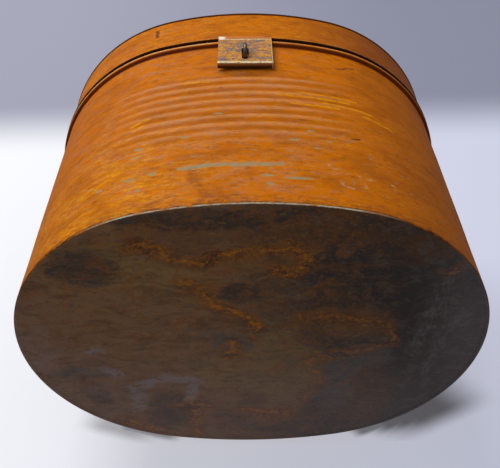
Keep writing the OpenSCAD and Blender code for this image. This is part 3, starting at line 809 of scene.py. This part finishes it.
def sheet_faces(sheet, rows, closed=False, core=False):
    """Faces and slots of a sheet that is drawn in rows of points; core closes it across the middle."""
    near, _, near_slots, far_slots = sheet
    count = len(near)
    faces, slots = [], []
    for k in range(rows if closed else rows - 1):
        a, b = 2 * count * k, 2 * count * ((k + 1) % rows)
        for i in range(count - 1):
            faces.append((a + i, b + i, b + i + 1, a + i + 1))
            slots.append(near_slots[i])
            faces.append((a + count + i + 1, b + count + i + 1, b + count + i, a + count + i))
            slots.append(far_slots[i])
        for i in ([0] if core else [0, count - 1]):
            faces.append((a + i, a + count + i, b + count + i, b + i))
            slots.append(near_slots[min(i, count - 2)])
    if core:
        for side in (count - 1, 2 * count - 1):
            faces.append(tuple(2 * count * k + side for k in range(rows)))
            slots.append((near_slots if side < count else far_slots)[-1])
    if not closed:
        for k in (0, rows - 1):
            a = 2 * count * k
            for i in range(count - 1):
                faces.append((a + i, a + i + 1, a + count + i + 1, a + count + i))
                slots.append(near_slots[i])
    return faces, slots


def swept(sheet, places, closed, core=False, dent=None):
    """Points, faces and slots of a sheet carried round the oval."""
    points = []
    for x, y, nx, ny in places:
        for out, z in sheet[0] + sheet[1]:
            push, lift = dent(x + nx * out, y + ny * out, z) if dent else (0, 0)
            points.append((x + nx * (out + push), y + ny * (out + push), z + lift))
    return points, *sheet_faces(sheet, len(places), closed, core)


def wall_sheet():
    """The wall's sheet from the turned-in foot up over the rings and the stop bead to the rolled collar."""
    path = [(-FOOT_W, SHEET - 0.1), (-FOOT_W + 0.6, 0.12), (-FOOT_W + 1.4, 0)]
    foot_spans = len(path) + 2
    path += arc(-FOOT_BEND, FOOT_BEND, FOOT_BEND, -90, 0, 6)
    low_ring = RING_TOP - (RING_N - 1) * RING_PITCH
    path += straight((0, FOOT_BEND + 2), (0, low_ring - RING_W / 2), 5)
    for ring in range(RING_N):
        mid = low_ring + ring * RING_PITCH
        for i in range(CURVE_STEPS + 1):
            z = mid + RING_W * (i / CURVE_STEPS - 0.5)
            path.append((ring_rise(z - mid), z))
    reach = BEAD_R + BEAD_FILLET
    drop = math.sqrt(reach ** 2 - BEAD_FILLET ** 2)
    lean = math.degrees(math.atan2(drop, BEAD_FILLET))
    path += straight((0, RING_TOP + RING_W / 2 + 2), (0, BEAD_Z - drop), 5)
    path += arc(BEAD_FILLET, BEAD_Z - drop, BEAD_FILLET, 180, 180 - lean, 4)[:-1]
    path += arc(0, BEAD_Z, BEAD_R, -lean, lean, 16)
    path += arc(BEAD_FILLET, BEAD_Z + drop, BEAD_FILLET, 180 + lean, 180, 4)[1:]
    path += straight((0, BEAD_Z + drop + 2), (-SEAT, COLLAR_Z), 3)
    path += arc(-ROLL_R - SEAT, COLLAR_Z, ROLL_R, 0, 275, 18)
    inside_from = next(i for i, (out, z) in enumerate(path) if z > COLLAR_Z + 0.9)
    near_slots = [2 if i < foot_spans else 0 if i < inside_from else 1 for i in range(len(path))]
    far = [
        (out, SHEET) if out < -FOOT_BEND and z < 2 * SHEET else (out, z)
        for out, z in other_side(path, SHEET)
    ]
    return path, far, near_slots, [1] * len(path)


def wall_dent(x, y, z):
    """Slow waves in the old sheet, none where other pieces fit, and rings that fade towards the ends."""
    ease = ramp(z, 10, 40) * ramp(z, 216, 191)
    push = WALL_WAVE * ease * noise.noise(Vector((x, y, z)) / WALL_WAVE_L)
    turn = (z - RING_TOP) / RING_PITCH
    off = abs(turn - round(turn)) * RING_PITCH
    if off < RING_W / 2 and -RING_N < round(turn) <= 0:
        aside = ramp(abs(x + 20), 60, 140)
        below = ramp(z, 125, 65)
        kept = (1 - 0.75 * aside) * (1 - 0.3 * below)
        push -= (1 - kept) * ring_rise(off)
    return push, 0


def skirt_sheet():
    """The lid's skirt from its top down to the rolled edge."""
    path = straight((LID_CLEAR, SKIRT_TOP), (LID_CLEAR, LID_Z + 6), 5)
    path += straight((LID_CLEAR, LID_Z + 6), (LID_CLEAR + SEAT, LID_Z + ROLL_R), 1.5)
    roll_from = len(path)
    path += arc(LID_ROLL_OUT, LID_Z + ROLL_R, ROLL_R, 180, 480, 20)
    near_slots = [0 if i >= roll_from + 2 else 1 for i in range(len(path))]
    return path, other_side(path, SHEET), near_slots, [0] * len(path)


def skirt_dent(x, y, z):
    """Fainter waves in the skirt, none at its top and its rolled edge."""
    ease = ramp(z, 250, 262) * ramp(z, 290, 278)
    return SKIRT_WAVE * ease * noise.noise(Vector((x, y, z + 500)) / SKIRT_WAVE_L), 0


def top_sheet():
    """The lid's top from its flange over the border and the slope to the flat panel."""
    panel_z = BORDER_Z + PANEL_RISE
    path = straight((TOP_OUT, BORDER_Z - FLANGE_H), (TOP_OUT, BORDER_Z - TOP_BEND), 0.7)
    path += arc(TOP_OUT - TOP_BEND, BORDER_Z - TOP_BEND, TOP_BEND, 0, 90, 6)
    path += straight((0, BORDER_Z), (-BORDER_W + 1.5, BORDER_Z), 4)
    for i in range(CURVE_STEPS + 1):
        share = i / CURVE_STEPS
        ease = share * share * (3 - 2 * share)
        path.append((-BORDER_W + 1.5 - (SLOPE_W + 3) * share, BORDER_Z + PANEL_RISE * ease))
    path += straight((-BORDER_W - SLOPE_W - 6, panel_z), (-END_R + 4, panel_z), 8)
    path.append((-END_R + 4, panel_z))
    return path, other_side(path, SHEET), [0] * len(path), [1] * len(path)


def base_sheet():
    """The flat base, from its rim to its middle; its near side is the one outside."""
    rim = -SHEET - SEAT
    path = straight((rim, SHEET), (-14, SHEET), 3) + straight((-14, SHEET), (-END_R + 4, SHEET), 5)
    path.append((-END_R + 4, SHEET))
    far = [(out, z + SHEET) for out, z in path]
    return path, far, [0] * len(path), [1] * len(path)


def base_dent(x, y, z):
    """Shallow buckles of the base, flat along its rim."""
    ease = ramp((x / HALF_W) ** 2 + (y / HALF_D) ** 2, 0.94, 0.74)
    return 0, BASE_BUCKLE * ease * noise.noise(Vector((x, y, 40)) / BASE_BUCKLE_L)


def hasp_mesh(finish):
    """The hasp as one bent strip: lip, bend, plate and a curl round its pin; the staple's slot is cut out."""
    path = straight((HASP_LIP, HASP_FOOT), (HASP_FACE - HASP_BEND, HASP_FOOT), 1)
    path += arc(HASP_FACE - HASP_BEND, HASP_FOOT + HASP_BEND, HASP_BEND, -90, 0, 10)
    path += straight((HASP_FACE, HASP_FOOT + HASP_BEND + 1), (HASP_FACE, HASP_PIN_Z), 3)
    path += arc(HASP_PIN_OUT, HASP_PIN_Z, HASP_FACE - HASP_PIN_OUT, 0, 262, 20)
    far = other_side(path, HASP_T)
    points = []
    for k in range(HASP_COLUMNS + 1):
        x = HASP_X + HASP_W * (k / HASP_COLUMNS - 0.5)
        bow = HASP_BOW * noise.noise(Vector((x / HASP_BOW_L, 3.1, 0)))
        points += [(x, -HALF_D - out - bow, z) for out, z in path + far]
    one_slot = [0] * len(path)
    faces, slots = sheet_faces((path, far, one_slot, one_slot), HASP_COLUMNS + 1)
    plate = make_piece("hasp", points, faces, slots, [finish], HASP_SHARP)
    cutter = hasp_cutter()
    cut = plate.modifiers.new("cut", "BOOLEAN")
    cut.operation = "DIFFERENCE"
    cut.object = cutter
    soft = plate.modifiers.new("worn_edges", "BEVEL")
    soft.width = HASP_WORN * MM
    soft.segments = 2
    soft.angle_limit = math.radians(HASP_SHARP)
    settle(plate)
    bpy.data.objects.remove(cutter)
    return plate


def bar(mid, axis_y, axis_z, radius, length):
    """Points and faces of a round bar along X."""
    rim = arc(axis_y, axis_z, radius, 0, 345, 23)
    points = [(mid + side * length / 2, y, z) for side in (-1, 1) for y, z in rim]
    return points, prism_faces(len(rim))


def prism_faces(count):
    """Faces between two rims of so many points, and over both."""
    faces = [tuple(range(count)), tuple(range(2 * count - 1, count - 1, -1))]
    return faces + [(i, (i + 1) % count, count + (i + 1) % count, count + i) for i in range(count)]


def hasp_cutter():
    """What is cut out of the hasp: the staple's slot, and room at the top for the strap's knuckles."""
    half = (SLOT_H - SLOT_W) / 2
    rim = arc(HASP_X, STAPLE_Z + half, SLOT_W / 2, 0, 180, 16)
    rim += arc(HASP_X, STAPLE_Z - half, SLOT_W / 2, 180, 360, 16)
    front, back = -HALF_D - HASP_FACE - 4, -HALF_D - HASP_FACE + 3
    points = [(x, y, z) for y in (front, back) for x, z in rim]
    faces = prism_faces(len(rim))
    room = KNUCKLE_W + 2 * KNUCKLE_GAP
    for side in (-1, 1):
        mid = HASP_X + side * (HASP_W - KNUCKLE_W) / 2
        more, more_faces = bar(mid, -HALF_D - HASP_PIN_OUT, HASP_PIN_Z, KNUCKLE_CUT, room)
        faces += [tuple(i + len(points) for i in face) for face in more_faces]
        points += more
    return make_piece("hasp_cutter", points, faces, [0] * len(faces), [])


def settle(piece):
    """Makes a piece's modifiers part of its mesh."""
    graph = bpy.context.evaluated_depsgraph_get()
    mesh = bpy.data.meshes.new_from_object(piece.evaluated_get(graph))
    piece.modifiers.clear()
    piece.data = mesh
    mesh.polygons.foreach_set("use_smooth", [True] * len(mesh.polygons))
    mesh.set_sharp_from_angle(angle=math.radians(CUT_SHARP))


def stand_for(piece, node, body):
    """Lets a piece take the place of a solid."""
    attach(piece, body)
    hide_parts(node)


# Finishes
wall_paint = wall_glaze()
lid_paint = lid_glaze()
top_paint = top_glaze()
tin = dull_tin()
base_paint = dark_base()
hasp_finish = worn_hasp()
strap_finish = strap_paint()
steel = dark_steel()
brass = aged_brass()

# The two halves of the wall meet at the ends
ROUND_STEP = 3
AT_END = 1e-6
ROUND = stations(ROUND_STEP)
wall_finishes = [wall_paint, tin, base_paint]
for half, sign in (("front_wall", -1), ("back_wall", 1)):
    places = stretch_of(ROUND, lambda place: sign * place[1] > -AT_END)
    wall = make_piece(half + "_sheet", *swept(wall_sheet(), places, False, dent=wall_dent), wall_finishes)
    stand_for(wall, half, "box")

base = make_piece("base_sheet", *swept(base_sheet(), ROUND, True, True, base_dent), [base_paint, tin])
stand_for(base, "base_panel", "box")

skirt = make_piece("lid_skirt_sheet", *swept(skirt_sheet(), ROUND, True, dent=skirt_dent), [lid_paint, tin])
stand_for(skirt, "lid_skirt", "lid")

top = make_piece("lid_top_sheet", *swept(top_sheet(), ROUND, True, True), [top_paint, tin])
stand_for(top, "lid_top", "lid")

hasp = hasp_mesh(hasp_finish)
stand_for(hasp, "hasp_plate", "hasp")

# The other solids keep their shape and take a finish
DRESS = {
    tin: ["left_seam", "right_seam", "collar_wire", "staple_plate", "lid_seam", "lid_rim_wire"],
    steel: [
        "staple", "hinge_body_leaf", "hinge_body_rivets", "hinge_pin", "hinge_lid_leaf", "hinge_lid_rivets",
        "hasp_pin",
    ],
    strap_finish: ["hasp_strap"],
    brass: ["left_saddle", "right_saddle", "saddle_rivets", "handle"],
}
for finish, nodes in DRESS.items():
    for node in nodes:
        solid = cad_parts[node]
        solid.data.materials.clear()
        solid.data.materials.append(finish)

# The stage: the cloth that the box lies on its back on, and the floor under it when it stands
CLOTH_LEFT = srgb(246, 249, 255)
CLOTH_RIGHT = srgb(212, 216, 236)
RISE_LEFT = srgb(162, 164, 182)
RISE_RIGHT = srgb(142, 144, 164)
RISE_FROM, RISE_TO = 520, 680
RISE_SLANT = 0.045
CLOTH_SPAN = 420
CLOTH_MID = 520
CLOTH_FADE = (600, 900)
GROUND_FADE = (900, 1500)
MATT = 0.48
GLOW = 0.57
# The painted contact shadow beside the base: its grey, and its strokes as ends, width and share.
CONTACT_GREY = srgb(82, 80, 84)
CONTACTS = [
    (((156, 112), (172, 96)), 58, 0.97),
    (((146, 122), (162, 108)), 44, 0.96),
    (((134, 132), (150, 118)), 30, 0.94),
    (((112, 147), (136, 131)), 16, 0.84),
    (((-140, 126), (-118, 137)), 34, 0.5),
    (((-124, 135), (-84, 150)), 18, 0.7),
]
WINDOW = (3, 445, 275, 415)


def pale_cloth(name, farther, middle, along_up, reach, under=False):
    """A pale matt cloth with soft edges, seen from its front only: duller to the right and farther up as
    painted falloff of light, and glowing a little, which paints light into its shadows.

    The one under the box is open where the box hides it, so that a raised lid shows.
    """
    material, finish, point = start(name)
    across, deep, up = finish.parts(point)
    # The cloth darkens to the right and upwards as painted falloff of light.
    rightward = finish.step(across, -CLOTH_SPAN, CLOTH_SPAN)
    near = finish.blend(rightward, CLOTH_LEFT, CLOTH_RIGHT)
    beyond = finish.blend(rightward, *farther)
    colour = finish.blend(finish.step(up - across * RISE_SLANT, RISE_FROM, RISE_TO), near, beyond)
    along = up if along_up else deep
    unseen = [
        finish.node("ShaderNodeNewGeometry", {}, {}, "Backfacing"),
        finish.step(abs(across), *reach), finish.step(abs(along - middle), *reach),
    ]
    if under:
        opened = spread(finish, finish.flat(across, up), WINDOW)
        unseen.append(finish.step(finish.dot(opened, opened), 1.0, 0.7))
    # The emission is painted light that lifts the cloth's shadows.
    matt = finish.node("ShaderNodeBsdfPrincipled", {}, {
        "Base Color": finish.blend(MATT, (0.0, 0.0, 0.0, 1.0), colour), "Emission Color": colour,
        "Emission Strength": GLOW, "Roughness": 1.0, "Specular IOR Level": 0.0,
    })
    clear = finish.node("ShaderNodeBsdfTransparent", {}, {})
    shown = finish.node("ShaderNodeMixShader", {}, [gather(unseen), matt, clear])
    finish.node("ShaderNodeOutputMaterial", {}, {"Surface": shown})
    return material


def contact_shade():
    """The dark shade close beside the base, with nothing round it; seen from below only."""
    material, finish, point = start("contact_shade")
    level = finish.flat(*finish.parts(point, "XY"))
    shade = gather([line(finish, level, ends, width) * share for ends, width, share in CONTACTS])
    behind = finish.node("ShaderNodeNewGeometry", {}, {}, "Backfacing")
    dark = finish.node("ShaderNodeEmission", {}, {"Color": CONTACT_GREY, "Strength": 1.0})
    clear = finish.node("ShaderNodeBsdfTransparent", {}, {})
    shown = finish.node("ShaderNodeMixShader", {}, [shade * (1.0 - behind), clear, dark])
    finish.node("ShaderNodeOutputMaterial", {}, {"Surface": shown})
    return material


def stage_sheet(name, corners, material):
    """A sheet of the stage, which the camera sees and the light passes."""
    mesh = bpy.data.meshes.new(name)
    mesh.from_pydata(corners, [], [tuple(range(len(corners)))])
    mesh.materials.append(material)
    sheet = bpy.data.objects.new(name, mesh)
    bpy.context.scene.collection.objects.link(sheet)
    sheet.visible_diffuse = False
    sheet.visible_glossy = False
    sheet.visible_transmission = False
    sheet.visible_shadow = False


# Places of the stage, in metres
WIDE, LOW, HIGH = 1.6, -0.5, 2.0
CLOTH_GAP, FAR_GAP = 0.0005, 0.19
SHADE_X, SHADE_Y, SHADE_Z = 0.3, 0.22, 0.003
BACK_Y = cad_box[1].y
for name, gap, under in (("cloth", CLOTH_GAP, True), ("far_cloth", FAR_GAP, False)):
    y = BACK_Y + gap
    cloth = pale_cloth(name, (RISE_LEFT, RISE_RIGHT), CLOTH_MID, True, CLOTH_FADE, under)
    stage_sheet(name, [(-WIDE, y, LOW), (WIDE, y, LOW), (WIDE, y, HIGH), (-WIDE, y, HIGH)], cloth)
shade_rim = [(-SHADE_X, 0), (-SHADE_X, SHADE_Y), (SHADE_X, SHADE_Y), (SHADE_X, 0)]
stage_sheet("shade", [(x, y, SHADE_Z) for x, y in shade_rim], contact_shade())
ground = pale_cloth("ground", (CLOTH_LEFT, CLOTH_RIGHT), 0, False, GROUND_FADE)
stage_sheet("ground", [(-WIDE, -WIDE, 0), (WIDE, -WIDE, 0), (WIDE, WIDE, 0), (-WIDE, WIDE, 0)], ground)


# Light, in metres and watts
SKY_COLOUR = srgb(232, 234, 242)
SKY_LIGHT = 0.34
BACKDROP = srgb(226, 229, 241)
LAMP_COLOUR = srgb(255, 252, 246)
LAMP_AT = (-1.1, -2.2, 1.25)
LAMP_SIZE = (1.8, 1.4)
LAMP_POWER = 60
MIDDLE = (0, 0, 0.15)


def sky():
    """Even pale light all round, and a pale backdrop where nothing else shows."""
    world = bpy.data.worlds.new("sky")
    world.use_nodes = True
    finish = Finish(world.node_tree)
    seen = finish.node("ShaderNodeLightPath", {}, {}, "Is Camera Ray")
    light = finish.node("ShaderNodeBackground", {}, {"Color": SKY_COLOUR, "Strength": SKY_LIGHT})
    backdrop = finish.node("ShaderNodeBackground", {}, {"Color": BACKDROP, "Strength": 1.0})
    shown = finish.node("ShaderNodeMixShader", {}, [seen, light, backdrop])
    finish.node("ShaderNodeOutputWorld", {}, {"Surface": shown})
    bpy.context.scene.world = world


def lamp(name, place, aim, size, power, colour):
    """A large soft lamp that faces a point of the box."""
    data = bpy.data.lights.new(name, "AREA")
    data.shape = "RECTANGLE"
    data.size, data.size_y = size
    data.energy = power
    data.color = colour[:3]
    light = bpy.data.objects.new(name, data)
    bpy.context.scene.collection.objects.link(light)
    light.location = place
    light.rotation_euler = (Vector(aim) - Vector(place)).to_track_quat("-Z", "Y").to_euler()


sky()
lamp("window", LAMP_AT, MIDDLE, LAMP_SIZE, LAMP_POWER, LAMP_COLOUR)

# The camera of the photograph: it looks down at the box's base and front while the box lies on its back
PICTURE_W = 500
FOCAL = 647.0
SENSOR_W = 36
CAMERA_AT = Vector((-9.1, -450.6, -339.7)) * MM
CAMERA_TURN = Vector((0.7547, 0.0157, 0.0018))
camera = bpy.data.objects.new("camera", bpy.data.cameras.new("camera"))
bpy.context.scene.collection.objects.link(camera)
camera.data.sensor_width = SENSOR_W
camera.data.lens = FOCAL / PICTURE_W * SENSOR_W
facing = Matrix.Rotation(CAMERA_TURN.length, 3, CAMERA_TURN) @ Matrix(((1, 0, 0), (0, -1, 0), (0, 0, -1)))
camera.matrix_world = Matrix.LocRotScale(CAMERA_AT, facing.transposed().to_quaternion(), None)
bpy.context.scene.camera = camera
bpy.context.scene.view_settings.view_transform = "Standard"
